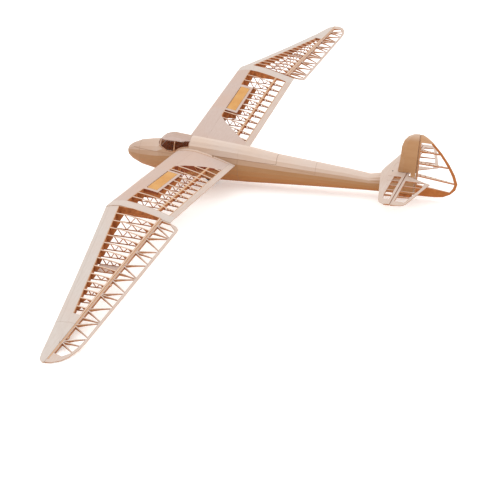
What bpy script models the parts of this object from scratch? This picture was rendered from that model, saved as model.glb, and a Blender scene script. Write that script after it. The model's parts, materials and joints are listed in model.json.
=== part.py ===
"""Uncovered balsa framework of a gull-winged sailplane model, about 1:5, standing with its left wingtip down.

The airframe is modelled level: +X is the left wing, the nose points to -Y and +Z is up. An empty then
carries every piece into the parked attitude, on the tyre, the tail skid and the left wingtip.
"""
import math
from collections import namedtuple

import bmesh
import bpy
from mathutils import Matrix, Vector

# Clearances and stock sizes
GAP = 0.0003
HINGE_GAP = 0.0008
RIB_HALF = 0.0012
MIN_HALF_EDGE = 0.0008

# Wing section: crest of the thickness along the chord, and its taper to the trailing edge
CREST = 0.30
TAPER = 1.1

WingRow = namedtuple("WingRow", "x lead_y lead_z trail_y trail_z thickness camber")
INNER_WING = [
    WingRow(0.030, -0.188, 0.0065, 0.0635, -0.0255, 0.150, 0.040),
    WingRow(0.770, -0.190, 0.0840, 0.0635, 0.0540, 0.140, 0.040),
]
OUTER_WING = [
    WingRow(0.770, -0.1900, 0.0840, 0.1051, 0.0450, 0.120, 0.040),
    WingRow(1.160, -0.1215, 0.0410, 0.0911, 0.0215, 0.113, 0.036),
    WingRow(1.570, -0.0530, 0.0015, 0.0770, -0.0010, 0.105, 0.030),
    WingRow(1.620, -0.0440, -0.0010, 0.0732, -0.0022, 0.102, 0.026),
    WingRow(1.670, -0.0350, -0.0040, 0.0599, -0.0023, 0.105, 0.020),
    WingRow(1.700, -0.0262, -0.0045, 0.0434, -0.0015, 0.110, 0.012),
    WingRow(1.720, -0.0080, -0.0040, 0.0150, -0.0008, 0.170, 0.000),
]
ROOT_X = 0.066
JOINT_INNER_X = 0.729
KINK_X = 0.770
JOINT_OUTER_X = 0.782
JOINT_DROP = 0.055
JOINT_SWEEP = 0.175
BOX_END_X = 1.492
TIP_X = 1.7175

# Fore and aft lines of the inner panel
INNER_BOX = ((0.285, -0.1110), (0.730, -0.1265))
SUB_SPAR_Y = -0.005
SUB_SPAR_HALF = 0.0035
INNER_STRIP_Y = 0.0415
WEB = 0.0025
INNER_FIRST_RIB_X = 0.1155
INNER_RIB_PITCH = 0.0512
INNER_RIB_COUNT = 12
SHEET_EDGE = ((0.285, -0.111), (0.245, -0.081), (0.214, -0.046), (0.182, -0.008), (0.150, 0.0425), (0.146, 0.0515))

# Lines of the outer panel
OUTER_RIB_PITCH = 0.0477
OUTER_RIB_COUNT = 14
OUTER_BOX_START_Y = -0.1345
OUTER_BOX_END_Y = -0.0165
REAR_SPAR = 0.0065
HINGE_START = (0.772, 0.030)
HINGE_END = (1.720, -0.001)

# Trusses of the ribs: flange under the skin, half of a web, and the solid ends before and behind the triangles
TRUSS_FLANGE = 0.0023
TRUSS_WEB = 0.0014
TRUSS_FRONT = 0.0100
TRUSS_REAR = 0.0040
INNER_TRUSS_AHEAD = 5
INNER_TRUSS_BEHIND = 3
SPOILER_TRUSS = 3
OuterTruss = namedtuple("OuterTruss", "stations triangles")
OUTER_TRUSSES = [
    OuterTruss((0.7850, 1.1400), 5),
    OuterTruss((1.1410, 1.1600, 1.3300), 3),
    OuterTruss((1.3310, 1.4270), 1),
]

# Spoiler in the top skin, hinged at its front edge
SPOILER_X = (0.352, 0.561)
SPOILER_FRONT_Y = (-0.1090, -0.1125)
SPOILER_WIDE = 0.0385
SPOILER_THICK = 0.0025
SPOILER_FRAME_X = (0.336, 0.580)
SPOILER_FRAME_WIDE = 0.0110
SPOILER_FRAME_DEEP = 0.0095
SPOILER_FLOOR = 0.0020

# Aileron framework
AILERON_INNER_X = 0.790
AILERON_CORNER = 0.026
AILERON_HINGE_X = (0.815, 1.670)
AILERON_LEAN = 0.55
AILERON_SPAR = 0.0075
AILERON_STRIP = 0.0095
DIAGONAL_HALF = 0.0022
SERVO_PLATE = 0.0020
GUSSET_FIRST_X = 0.830
GUSSET_PITCH = 0.0962
GUSSET_COUNT = 9
AILERON_RIBS = (0.0, 0.5, 2.0, 3.5, 5.0, 6.5, 8.0)

# Hull: height of the top, of the widest line and of the keel, and half the width
HullRow = namedtuple("HullRow", "y top waist keel half_width")
HULL = [
    HullRow(-0.4235, -0.0220, -0.028, -0.0340, 0.0040),
    HullRow(-0.4160, -0.0065, -0.028, -0.0480, 0.0180),
    HullRow(-0.3980, 0.0070, -0.029, -0.0620, 0.0300),
    HullRow(-0.3580, 0.0245, -0.030, -0.0800, 0.0440),
    HullRow(-0.3050, 0.0340, -0.029, -0.0915, 0.0525),
    HullRow(-0.2760, 0.0375, -0.028, -0.0965, 0.0555),
    HullRow(-0.2650, 0.0520, -0.028, -0.0978, 0.0560),
    HullRow(-0.2500, 0.0625, -0.028, -0.0990, 0.0565),
    HullRow(-0.2300, 0.0690, -0.027, -0.1012, 0.0570),
    HullRow(-0.2120, 0.0720, -0.027, -0.1030, 0.0575),
    HullRow(-0.1370, 0.0640, -0.027, -0.1090, 0.0575),
    HullRow(-0.0100, 0.0530, -0.028, -0.1135, 0.0565),
    HullRow(0.1080, 0.0415, -0.032, -0.1105, 0.0515),
    HullRow(0.2300, 0.0230, -0.038, -0.1040, 0.0445),
    HullRow(0.3800, 0.0090, -0.044, -0.0970, 0.0375),
    HullRow(0.5270, -0.0060, -0.049, -0.0910, 0.0315),
    HullRow(0.6090, -0.0175, -0.052, -0.0880, 0.0285),
    HullRow(0.6650, -0.0053, -0.050, -0.0875, 0.0255),
    HullRow(0.7500, -0.0053, -0.050, -0.0885, 0.0180),
    HullRow(0.7950, -0.0053, -0.050, -0.0892, 0.0062),
]
HULL_SIDES = 20
NOSE_SEAM_Y = -0.358
WING_SEAM_Y = 0.070
STERN_Y = 0.795
STERN_GAP = 0.0012
CANOPY_REAR_Y = -0.137
SillRow = namedtuple("SillRow", "y z")
CANOPY_SILL = [
    SillRow(-0.2745, 0.0310),
    SillRow(-0.2640, 0.0200),
    SillRow(-0.2350, 0.0080),
    SillRow(-0.1980, 0.0050),
    SillRow(-0.1900, 0.0130),
    SillRow(-0.1800, 0.0195),
    SillRow(-0.1630, 0.0250),
    SillRow(-0.1370, 0.0290),
]
CANOPY_HINGE = (-0.2740, 0.0390)
SILL_STRIP = 0.0040
ABOVE = 0.120
GLASS_WALL = 0.0012
FRAME_WALL = 0.0022
SHELL_WALL = 0.0030
GLASS_INSIDE_Y = -0.2715
FRAME_FRONT_Y = -0.2685
FRAME_INSIDE_Y = -0.2655
ARCH_Y = (-0.2030, -0.1990)
COCKPIT_Y = (-0.2620, -0.1415)
COCKPIT_FLOOR_Z = -0.0500
DECK_SEAM = [(-0.1370, 0.0460), (0.0000, 0.0400), (0.2303, 0.0120)]
DECK_REAR_Y = 0.2303

# Wheel, axle and tail skid
WHEEL_Y = -0.060
WHEEL_Z = -0.0985
WHEEL_RADIUS = 0.032
TYRE_HALF = 0.0085
TYRE_STEPS = 6
HUB_RADIUS = 0.0190
HUB_HALF = 0.0070
AXLE_RADIUS = 0.0030
WHEEL_BOX_HALF = 0.0130
WHEEL_BOX_LONG = 0.0370
WHEEL_BOX_TOP = -0.0620
SKID_Y = (0.700, 0.779)
SKID_FOOT = (0.748, -0.1040)

# Tail
TAIL_HINGE_Y = 0.757
TailRow = namedtuple("TailRow", "x lead_y half")
TAILPLANE = [
    TailRow(0.000, 0.6550, 0.0045),
    TailRow(0.040, 0.6600, 0.0045),
    TailRow(0.150, 0.6820, 0.0042),
    TailRow(0.270, 0.7060, 0.0036),
    TailRow(0.292, 0.7140, 0.0033),
    TailRow(0.305, 0.7320, 0.0028),
]
ElevatorRow = namedtuple("ElevatorRow", "x trail_y half")
ELEVATOR = [
    ElevatorRow(0.000, 0.7680, 0.0038),
    ElevatorRow(0.031, 0.7680, 0.0038),
    ElevatorRow(0.085, 0.8660, 0.0038),
    ElevatorRow(0.290, 0.8150, 0.0032),
    ElevatorRow(0.303, 0.8000, 0.0028),
    ElevatorRow(0.306, 0.7750, 0.0026),
]
TAIL_WINDOW_X = (0.046, 0.262)
TAIL_WINDOW_COUNT = 5
TAIL_RIB_HALF = 0.0016
FIN_FOOT_Z = 0.0066
FIN_FOOT_Y = (0.724, 0.7565)
FIN_POST_Y = (0.772, 0.7895)
FinRow = namedtuple("FinRow", "z lead_y half")
FIN = [
    FinRow(0.0066, 0.7200, 0.0062),
    FinRow(0.0600, 0.7290, 0.0060),
    FinRow(0.1140, 0.7345, 0.0056),
    FinRow(0.1400, 0.7440, 0.0052),
    FinRow(0.1590, 0.7600, 0.0047),
    FinRow(0.1700, 0.7820, 0.0042),
]
RUDDER_HINGE_LOW = (0.7842, -0.0880)
RUDDER_HINGE_HIGH = (0.8055, 0.1700)
RudderRow = namedtuple("RudderRow", "z trail_y half")
RUDDER = [
    RudderRow(-0.0880, 0.8700, 0.0040),
    RudderRow(-0.0840, 0.9030, 0.0046),
    RudderRow(-0.0700, 0.9310, 0.0050),
    RudderRow(-0.0500, 0.9510, 0.0052),
    RudderRow(-0.0250, 0.9585, 0.0054),
    RudderRow(0.0150, 0.9460, 0.0054),
    RudderRow(0.0570, 0.9230, 0.0054),
    RudderRow(0.1000, 0.8930, 0.0052),
    RudderRow(0.1410, 0.8570, 0.0050),
    RudderRow(0.1600, 0.8340, 0.0046),
    RudderRow(0.1690, 0.8180, 0.0042),
]

# Ribs of the rudder, as their heights at the hinge and at the rear; the lowest and highest edge a solid bay
RUDDER_RIBS = [(-0.044, -0.062), (-0.001, -0.0235), (0.051, 0.041), (0.104, 0.094), (0.139, 0.137)]
RUDDER_POST = 0.0085
RUDDER_STRIP = 0.0120
RUDDER_HOLES = 7
RUDDER_HOLE_RADII = (0.0030, 0.0012)

BALSA = (0.86, 0.70, 0.55, 1)
PLY = (0.42, 0.20, 0.08, 1)
STRIP = (0.78, 0.66, 0.55, 1)
OCHRE = (0.80, 0.55, 0.20, 1)
CLEAR = (0.75, 0.72, 0.70, 1)
RUBBER = (0.03, 0.03, 0.03, 1)
METAL = (0.55, 0.55, 0.57, 1)


def new_collection(name):
    collection = bpy.data.collections.new(name)
    bpy.context.scene.collection.children.link(collection)
    return collection


def clear_scene():
    for item in list(bpy.data.objects):
        bpy.data.objects.remove(item, do_unlink=True)


def finish_mesh(name, bm):
    """Object in the airframe from a bmesh, with its faces pointing out."""
    bmesh.ops.recalc_face_normals(bm, faces=bm.faces)
    mesh = bpy.data.meshes.new(name)
    bm.to_mesh(mesh)
    bm.free()
    piece = bpy.data.objects.new(name, mesh)
    piece.parent = airframe
    return piece


def as_part(piece, color, roughness=0.7, metallic=0.0, alpha=1.0, smooth=None):
    """Puts a piece among the glider's own, with its material."""
    model.objects.link(piece)
    material = bpy.data.materials.new(piece.name)
    material.use_nodes = True
    shader = material.node_tree.nodes["Principled BSDF"]
    shader.inputs["Base Color"].default_value = color
    shader.inputs["Roughness"].default_value = roughness
    shader.inputs["Metallic"].default_value = metallic
    shader.inputs["Alpha"].default_value = alpha
    piece.data.materials.append(material)
    if smooth:
        piece.data.shade_smooth()
        piece.data.set_sharp_from_angle(angle=math.radians(smooth))
    return piece


def as_cutter(piece):
    cutters.objects.link(piece)
    piece.hide_render = True
    piece.display_type = "WIRE"
    return piece


def combine(piece, tool, operation="DIFFERENCE"):
    """Boolean of a piece with a tool that stays in the collection of cutters."""
    modifier = piece.modifiers.new(tool.name, "BOOLEAN")
    modifier.object = tool
    modifier.operation = operation
    modifier.solver = "EXACT"


def lofts(name, solids, side=1):
    """Closed solids, each through rings with the same number of points; side -1 mirrors them to the right."""
    bm = bmesh.new()
    for rings in solids:
        loops = [[bm.verts.new((side * x, y, z)) for x, y, z in ring] for ring in rings]
        for near, far in zip(loops, loops[1:]):
            for here in range(len(near)):
                after = (here + 1) % len(near)
                bm.faces.new((near[here], near[after], far[after], far[here]))
        bm.faces.new(loops[0])
        bm.faces.new(list(reversed(loops[-1])))
    return finish_mesh(name, bm)


def loft(name, rings, side=1):
    return lofts(name, [rings], side)


def prisms(name, outlines, axis, low, high, side=1):
    """Cutter of closed prisms: an outline is (x, y) points along Z, or (y, z) points along X."""
    bm = bmesh.new()
    for outline in outlines:
        loops = []
        for level in (low, high):
            if axis == "Z":
                points = [(side * a, b, level) for a, b in outline]
            else:
                points = [(level, a, b) for a, b in outline]
            loops.append([bm.verts.new(point) for point in points])
        near, far = loops
        for here in range(len(near)):
            after = (here + 1) % len(near)
            bm.faces.new((near[here], near[after], far[after], far[here]))
        bm.faces.new(near)
        bm.faces.new(list(reversed(far)))
    return as_cutter(finish_mesh(name, bm))


def box(name, low, high, side=1):
    """Block between two corners, from Blender's cube."""
    bm = bmesh.new()
    bmesh.ops.create_cube(bm, size=1.0)
    for vert in bm.verts:
        vert.co = Vector((low[i] + (high[i] - low[i]) * (vert.co[i] + 0.5) for i in range(3)))
        vert.co.x *= side
    return finish_mesh(name, bm)


def turned(name, profile, steps):
    """Solid turned about the wheel's axle from a closed profile of (distance along the axle, radius)."""
    bm = bmesh.new()
    loops = []
    for step in range(steps):
        angle = 2 * math.pi * step / steps
        ring = []
        for along, radius in profile:
            y = WHEEL_Y + radius * math.sin(angle)
            z = WHEEL_Z - radius * math.cos(angle)
            ring.append(bm.verts.new((along, y, z)))
        loops.append(ring)
    for step in range(steps):
        near, far = loops[step], loops[(step + 1) % steps]
        for here in range(len(near)):
            after = (here + 1) % len(near)
            bm.faces.new((near[here], near[after], far[after], far[here]))
    return finish_mesh(name, bm)


def inset(outline, margins):
    """Convex outline with each edge moved inwards by its own margin, or None where nothing is left."""
    count = len(outline)
    turn = sum(outline[i][0] * outline[(i + 1) % count][1] - outline[(i + 1) % count][0] * outline[i][1]
               for i in range(count))
    lines = []
    for i in range(count):
        start = Vector(outline[i])
        along = (Vector(outline[(i + 1) % count]) - start).normalized()
        inward = Vector((-along.y, along.x)) * (1 if turn > 0 else -1)
        lines.append((start + inward * margins[i], along))
    corners = []
    for i in range(count):
        (a, u), (b, v) = lines[i - 1], lines[i]
        reach = (b - a).cross(v) / u.cross(v)
        corners.append(a + u * reach)
    for i in range(count):
        if (corners[(i + 1) % count] - corners[i]).dot(lines[i][1]) <= 0.001:
            return None
    return [tuple(corner) for corner in corners]


def between(start, end, part):
    return start + (end - start) * part


def row_at(rows, at):
    """Row of a table at a value of its first column, straight between its neighbours."""
    for near, far in zip(rows, rows[1:]):
        if at <= far[0]:
            break
    part = (at - near[0]) / (far[0] - near[0])
    return type(near)(*(between(a, b, part) for a, b in zip(near, far)))


def skin(rows, x, y, face):
    """Height of the wing's upper (face 1) or lower (face -1) skin."""
    row = row_at(rows, x)
    chord = row.trail_y - row.lead_y
    part = min(max((y - row.lead_y) / chord, 0), 1)
    if part < CREST:
        half = row.thickness / 2 * chord * math.sqrt(1 - ((CREST - part) / CREST) ** 2)
    else:
        half = row.thickness / 2 * chord * ((1 - part) / (1 - CREST)) ** TAPER
        half = max(half, MIN_HALF_EDGE)
    middle = between(row.lead_z, row.trail_z, part) + chord * row.camber * 4 * part * (1 - part)
    return middle + face * half


def inner_box_y(x):
    """Rear face of the leading-edge box of the inner panel."""
    (near_x, near_y), (far_x, far_y) = INNER_BOX
    return between(near_y, far_y, (x - near_x) / (far_x - near_x))


def hinge_y(x):
    return between(HINGE_START[1], HINGE_END[1], (x - HINGE_START[0]) / (HINGE_END[0] - HINGE_START[0]))


def hinge_point(x):
    return Vector((x, hinge_y(x), skin(OUTER_WING, x, hinge_y(x), 1)))


def outer_box_y(x):
    """Rear face of the leading-edge box of the outer panel; past its end it follows the hinge line."""
    part = (x - JOINT_OUTER_X) / (BOX_END_X - JOINT_OUTER_X)
    return min(between(OUTER_BOX_START_Y, OUTER_BOX_END_Y, part), hinge_y(x) - HINGE_GAP)


def nose_ring(rows, x, rear_y, fractions=(0.45, 0.16, 0.03)):
    """Section of a leading-edge box: upper skin to the nose and back along the lower skin."""
    lead = row_at(rows, x).lead_y
    ys = [rear_y] + [between(lead, rear_y, part) for part in fractions]
    upper = [(x, y, skin(rows, x, y, 1)) for y in ys]
    lower = [(x, y, skin(rows, x, y, -1)) for y in reversed(ys)]
    return upper + [(x, lead, row_at(rows, x).lead_z)] + lower


def slab_ring(rows, x, front_y, rear_y, steps=3, deep=None, lift=0.0, lean=0.0):
    """Section between two fore-and-aft lines, as deep as the wing or only a layer under its upper skin."""
    ys = [between(front_y, rear_y, step / steps) for step in range(steps + 1)]
    upper = [(x, y, skin(rows, x, y, 1) + lift) for y in ys]
    lower = []
    for y in ys:
        floor = skin(rows, x, y, 1) - deep if deep else skin(rows, x, y, -1)
        lower.append((x, y, floor))
    tall = upper[0][2] - lower[0][2]
    lower[0] = (x, front_y + lean * tall, lower[0][2])
    return upper + list(reversed(lower))


def wing_xs(start, end, count):
    return [between(start, end, step / count) for step in range(count + 1)]


def side_name(side):
    return "left" if side > 0 else "right"


def pivot_on(piece, point):
    """Moves a piece's origin to a point of its joint's axis."""
    piece.data.transform(Matrix.Translation(-point))
    piece.location = point


def sheet_outline(grow):
    """Plan of the sheeted root of the inner panel, with its edge curving back to the fuselage."""
    front = SHEET_EDGE[0][1] - 0.03
    edge = [(x + grow, y) for x, y in SHEET_EDGE]
    return [(ROOT_X - 0.01, front), (edge[0][0], front)] + edge + [(ROOT_X - 0.01, edge[-1][1])]


def truss_prisms(rows, stations, front, rear, triangles):
    """Triangles between the webs of a rib truss, standing on each flange in turn, drawn out along the span."""
    solids = []
    for index in range(triangles):
        rings = []
        for x in stations:
            nodes = []
            for step in (index, index + 2, index + 1):
                y = between(front(x), rear(x), step / (triangles + 1))
                nodes.append((y, skin(rows, x, y, 1 if step % 2 else -1)))
            hole = inset(nodes, [TRUSS_FLANGE, TRUSS_WEB, TRUSS_WEB])
            rings.append([(x, y, z) for y, z in hole])
        solids.append(rings)
    return solids


def inner_trusses():
    """Triangles of the inner ribs, fewer behind the spoiler frame, and those behind the sub-spar."""
    def box_end(x):
        return inner_box_y(x) + GAP + WEB + TRUSS_FRONT

    def frame_end(x):
        return spoiler_rear_y(x) + SPOILER_FRAME_WIDE + TRUSS_REAR

    def spar_front(x):
        return SUB_SPAR_Y - SUB_SPAR_HALF

    def spar_rear(x):
        return SUB_SPAR_Y + SUB_SPAR_HALF

    def strip_end(x):
        return INNER_STRIP_Y - GAP - WEB

    low, high = SPOILER_FRAME_X
    root, joint = INNER_FIRST_RIB_X + 0.010, JOINT_INNER_X - 0.004
    solids = truss_prisms(INNER_WING, (root, low - 0.003), box_end, spar_front, INNER_TRUSS_AHEAD)
    solids += truss_prisms(INNER_WING, (low - 0.002, high + 0.002), frame_end, spar_front, SPOILER_TRUSS)
    solids += truss_prisms(INNER_WING, (high + 0.003, joint), box_end, spar_front, INNER_TRUSS_AHEAD)
    solids += truss_prisms(INNER_WING, (root, joint), spar_rear, strip_end, INNER_TRUSS_BEHIND)
    return solids


def inner_panel(side):
    """Leading-edge box, root sheeting, ribs and trailing strip of the inner panel."""
    end = side_name(side)
    xs = wing_xs(ROOT_X, JOINT_INNER_X - GAP, 2)
    rings = [nose_ring(INNER_WING, x, inner_box_y(x)) for x in xs]
    as_part(loft(f"inner_leading_box_{end}", rings, side), BALSA, smooth=40)

    rings = [slab_ring(INNER_WING, x, inner_box_y(x) + GAP, INNER_STRIP_Y - GAP, 5) for x in xs]
    sheeting = loft(f"root_sheeting_{end}", rings, side)
    region = prisms(f"root_region_{end}", [sheet_outline(0)], "Z", -0.2, 0.3, side)
    combine(sheeting, region, "INTERSECT")
    as_part(sheeting, BALSA, smooth=40)

    ribs = loft(f"inner_ribs_{end}", rings, side)
    combine(ribs, spoiler_layer(f"spoiler_room_{end}", side, GAP, 0.004))
    combine(ribs, prisms(f"root_room_{end}", [sheet_outline(GAP)], "Z", -0.2, 0.3, side))
    combine(ribs, prisms(f"inner_bays_{end}", inner_bays(), "Z", -0.2, 0.3, side))
    combine(ribs, as_cutter(lofts(f"inner_trusses_{end}", inner_trusses(), side)))
    as_part(ribs, PLY)

    rings = [slab_ring(INNER_WING, x, INNER_STRIP_Y, row_at(INNER_WING, x).trail_y, 1) for x in xs]
    as_part(loft(f"inner_trailing_strip_{end}", rings, side), STRIP)


def inner_rib_x(index):
    return INNER_FIRST_RIB_X + INNER_RIB_PITCH * index


def inner_bays():
    """Openings between the ribs, before and behind the sub-spar."""
    edges = [inner_rib_x(i) for i in range(INNER_RIB_COUNT)] + [JOINT_INNER_X - GAP]
    bays = []
    for near, far in zip(edges, edges[1:]):
        low, high = near + RIB_HALF, far - RIB_HALF
        front, rear = SUB_SPAR_Y - SUB_SPAR_HALF, SUB_SPAR_Y + SUB_SPAR_HALF
        bays.append([(low, inner_box_y(low) + GAP + WEB), (high, inner_box_y(high) + GAP + WEB),
                     (high, front), (low, front)])
        bays.append([(low, rear), (high, rear), (high, INNER_STRIP_Y - GAP - WEB), (low, INNER_STRIP_Y - GAP - WEB)])
    return bays


def spoiler_front_y(x):
    return between(*SPOILER_FRONT_Y, (x - SPOILER_X[0]) / (SPOILER_X[1] - SPOILER_X[0]))


def spoiler_rear_y(x):
    return spoiler_front_y(x) + SPOILER_WIDE


def spoiler_layer(name, side, grow, lift):
    """Layer of the upper skin that holds the spoiler, cut from the ribs or the room for it."""
    rings = []
    for x in (SPOILER_FRAME_X[0] - grow, SPOILER_FRAME_X[1] + grow):
        front = inner_box_y(x) + GAP - (0.005 if lift else 0)
        rear = spoiler_rear_y(x) + SPOILER_FRAME_WIDE + grow
        rings.append(slab_ring(INNER_WING, x, front, rear, 3, SPOILER_FRAME_DEEP + 2 * grow, lift))
    piece = loft(name, rings, side)
    return as_cutter(piece) if lift else piece


def spoiler(side):
    """Spoiler and the shallow frame that it lies in."""
    end = side_name(side)
    frame = spoiler_layer(f"spoiler_frame_{end}", side, 0, 0)
    deep = SPOILER_FRAME_DEEP - SPOILER_FLOOR
    room_x = (SPOILER_X[0] - HINGE_GAP, SPOILER_X[1] + HINGE_GAP)
    rings = []
    for x in room_x:
        rings.append(slab_ring(INNER_WING, x, spoiler_front_y(x) - HINGE_GAP, spoiler_rear_y(x) + HINGE_GAP,
                               2, deep, 0.003))
    combine(frame, as_cutter(loft(f"spoiler_well_{end}", rings, side)))
    as_part(frame, BALSA)
    rings = [slab_ring(INNER_WING, x, spoiler_front_y(x), spoiler_rear_y(x), 2, SPOILER_THICK) for x in SPOILER_X]
    flap = loft(f"spoiler_{end}", rings, side)
    pivot_on(flap, spoiler_hinge(side)[0])
    as_part(flap, OCHRE)


def spoiler_hinge(side):
    """A point of the spoiler's hinge line and its direction."""
    inner, outer = [Vector((side * x, y, skin(INNER_WING, x, y, 1))) for x, y in zip(SPOILER_X, SPOILER_FRONT_Y)]
    return (inner + outer) / 2, (outer - inner).normalized() * side


def joint_block(side):
    """Solid joint between the panels, with the rounded corner of the leading edge."""
    rings = []
    for x in (JOINT_INNER_X, KINK_X - 0.012, KINK_X, JOINT_OUTER_X - GAP):
        row = row_at(INNER_WING, min(x, KINK_X))
        rings.append(joint_ring(x, row))
    as_part(loft(f"wing_joint_{side_name(side)}", rings, side), BALSA, smooth=40)


def joint_ring(x, row):
    """Whole section at the joint: the inner panel's up to the kink, then turning down with the outer panel."""
    drop = max(x - KINK_X, 0) * JOINT_DROP
    back = max(x - KINK_X, 0) * JOINT_SWEEP
    ring = []
    rear = row.trail_y
    front = inner_box_y(min(x, KINK_X))
    for px, y, z in nose_ring(INNER_WING, min(x, KINK_X), front):
        ring.append((x, y + back * (y < front), z - drop))
    half = len(ring) // 2
    mids = [between(front, rear, part) for part in (0.33, 0.67, 1.0)]
    upper = [(x, y, skin(INNER_WING, min(x, KINK_X), y, 1) - drop) for y in reversed(mids)]
    lower = [(x, y, skin(INNER_WING, min(x, KINK_X), y, -1) - drop) for y in mids]
    return upper + ring[:half + 1] + ring[half + 1:] + lower


def outer_panel(side):
    """Leading-edge box with the solid tip, and the ribs with the rear spar."""
    end = side_name(side)
    xs = [JOINT_OUTER_X, 1.0, 1.25, BOX_END_X] + [row.x for row in OUTER_WING[2:-1]] + [TIP_X]
    rings = [nose_ring(OUTER_WING, x, outer_box_y(x)) for x in xs]
    as_part(loft(f"outer_leading_box_{end}", rings, side), BALSA, smooth=40)

    last = BOX_END_X - 0.004
    xs = wing_xs(JOINT_OUTER_X, last, 3)
    rings = [slab_ring(OUTER_WING, x, outer_box_y(x) + GAP, hinge_y(x) - HINGE_GAP, 3) for x in xs]
    ribs = loft(f"outer_ribs_{end}", rings, side)
    combine(ribs, prisms(f"outer_bays_{end}", outer_bays(last), "Z", -0.2, 0.3, side))
    combine(ribs, as_cutter(lofts(f"outer_trusses_{end}", outer_trusses(), side)))
    as_part(ribs, PLY)


def outer_trusses():
    """Triangles of the outer ribs, fewer of them as the ribs get shorter."""
    def box_end(x):
        return outer_box_y(x) + GAP + WEB + TRUSS_FRONT * (KINK_X / x) ** 2

    def spar_end(x):
        return hinge_y(x) - HINGE_GAP - REAR_SPAR - TRUSS_REAR * (KINK_X / x) ** 2

    solids = []
    for truss in OUTER_TRUSSES:
        solids += truss_prisms(OUTER_WING, truss.stations, box_end, spar_end, truss.triangles)
    return solids


def outer_bays(last):
    """Openings between the ribs of the outer panel, ahead of the rear spar."""
    edges = [JOINT_OUTER_X + 0.001 + OUTER_RIB_PITCH * i for i in range(OUTER_RIB_COUNT + 1)]
    bays = []
    for near, far in zip(edges, edges[1:]):
        low, high = near + RIB_HALF, min(far, last) - RIB_HALF
        bays.append([(low, outer_box_y(low) + GAP + WEB), (high, outer_box_y(high) + GAP + WEB),
                     (high, hinge_y(high) - HINGE_GAP - REAR_SPAR), (low, hinge_y(low) - HINGE_GAP - REAR_SPAR)])
    return bays


def aileron_rear_y(x):
    """Trailing edge of the aileron, with the rounded corner at its inner end."""
    trail = row_at(OUTER_WING, x).trail_y
    inward = max(AILERON_INNER_X + AILERON_CORNER - x, 0) / AILERON_CORNER
    return trail - 0.030 * (1 - math.sqrt(max(1 - inward ** 2, 0)))


def aileron(side):
    """Aileron framework: spar, trailing strip, zigzag diagonals and a few ribs."""
    end = side_name(side)
    xs = [AILERON_INNER_X + AILERON_CORNER * part for part in (0, 0.08, 0.31, 0.65, 1.08)]
    xs += [1.0, 1.25, BOX_END_X] + [row.x for row in OUTER_WING[2:-1]] + [TIP_X]
    rings = [slab_ring(OUTER_WING, x, hinge_y(x), aileron_rear_y(x), 2, lean=AILERON_LEAN) for x in xs]
    piece = loft(f"aileron_{end}", rings, side)
    combine(piece, prisms(f"aileron_windows_{end}", aileron_windows(), "Z", -0.2, 0.3, side))
    pivot_on(piece, aileron_hinge(side)[0])
    as_part(piece, BALSA)


def aileron_hinge(side):
    """A point of the aileron's hinge line and its direction."""
    inner, outer = hinge_point(AILERON_HINGE_X[0]), hinge_point(AILERON_HINGE_X[1])
    for point in (inner, outer):
        point.x *= side
    return (inner + outer) / 2, (outer - inner).normalized() * side


def aileron_windows():
    """Openings of the framework between spar, trailing strip, diagonals and ribs."""
    def spar(k):
        x = GUSSET_FIRST_X + GUSSET_PITCH * k
        return x, hinge_y(x)

    def strip(k):
        x = GUSSET_FIRST_X + GUSSET_PITCH * k
        return x, row_at(OUTER_WING, x).trail_y

    half = DIAGONAL_HALF
    shapes = []
    for k in range(GUSSET_COUNT):
        if k < GUSSET_COUNT - 1:
            mid = k + 0.5
            if mid in AILERON_RIBS:
                shapes.append(([spar(k), spar(mid), strip(mid)], [AILERON_SPAR, half, half]))
                shapes.append(([spar(mid), spar(k + 1), strip(mid)], [AILERON_SPAR, half, half]))
            else:
                shapes.append(([spar(k), spar(k + 1), strip(mid)], [AILERON_SPAR, half, half]))
        if k in AILERON_RIBS:
            if k > 0:
                shapes.append(([strip(k - 0.5), strip(k), spar(k)], [AILERON_STRIP, half, half]))
            shapes.append(([strip(k), strip(k + 0.5), spar(k)], [AILERON_STRIP, half, half]))
        else:
            shapes.append(([strip(k - 0.5), strip(k + 0.5), spar(k)], [AILERON_STRIP, half, half]))
    inner = [(AILERON_INNER_X, hinge_y(AILERON_INNER_X)), spar(0), strip(0), (0.816, 0.1035), (AILERON_INNER_X, 0.078)]
    shapes.append((inner, [AILERON_SPAR, half, AILERON_STRIP, AILERON_STRIP, 0.005]))
    last = GUSSET_COUNT - 1
    tip = [spar(last), spar(last + 0.68), (1.676, 0.045), strip(last + 0.5)]
    shapes.append((tip, [AILERON_SPAR, 0.001, AILERON_STRIP - 0.002, half]))
    return [outline for outline in (inset(*shape) for shape in shapes) if outline]


def servo_plate(side):
    """Plate of the aileron servo between two ribs of the outer panel."""
    near = JOINT_OUTER_X + 0.001 + OUTER_RIB_PITCH * 7 + RIB_HALF + GAP
    far = near + OUTER_RIB_PITCH - 2 * (RIB_HALF + GAP)
    front = outer_box_y(far) + GAP + WEB + GAP
    rear = hinge_y(far) - HINGE_GAP - REAR_SPAR - GAP
    start = skin(OUTER_WING, near, front, -1)
    slope = skin(OUTER_WING, near, rear, -1) - start
    fall = skin(OUTER_WING, far, front, -1) - start
    rings = []
    for x, low in ((near, start), (far, start + fall)):
        rings.append([(x, front, low), (x, rear, low + slope),
                      (x, rear, low + slope + SERVO_PLATE), (x, front, low + SERVO_PLATE)])
    as_part(loft(f"servo_plate_{side_name(side)}", rings, side), BALSA)


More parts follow.
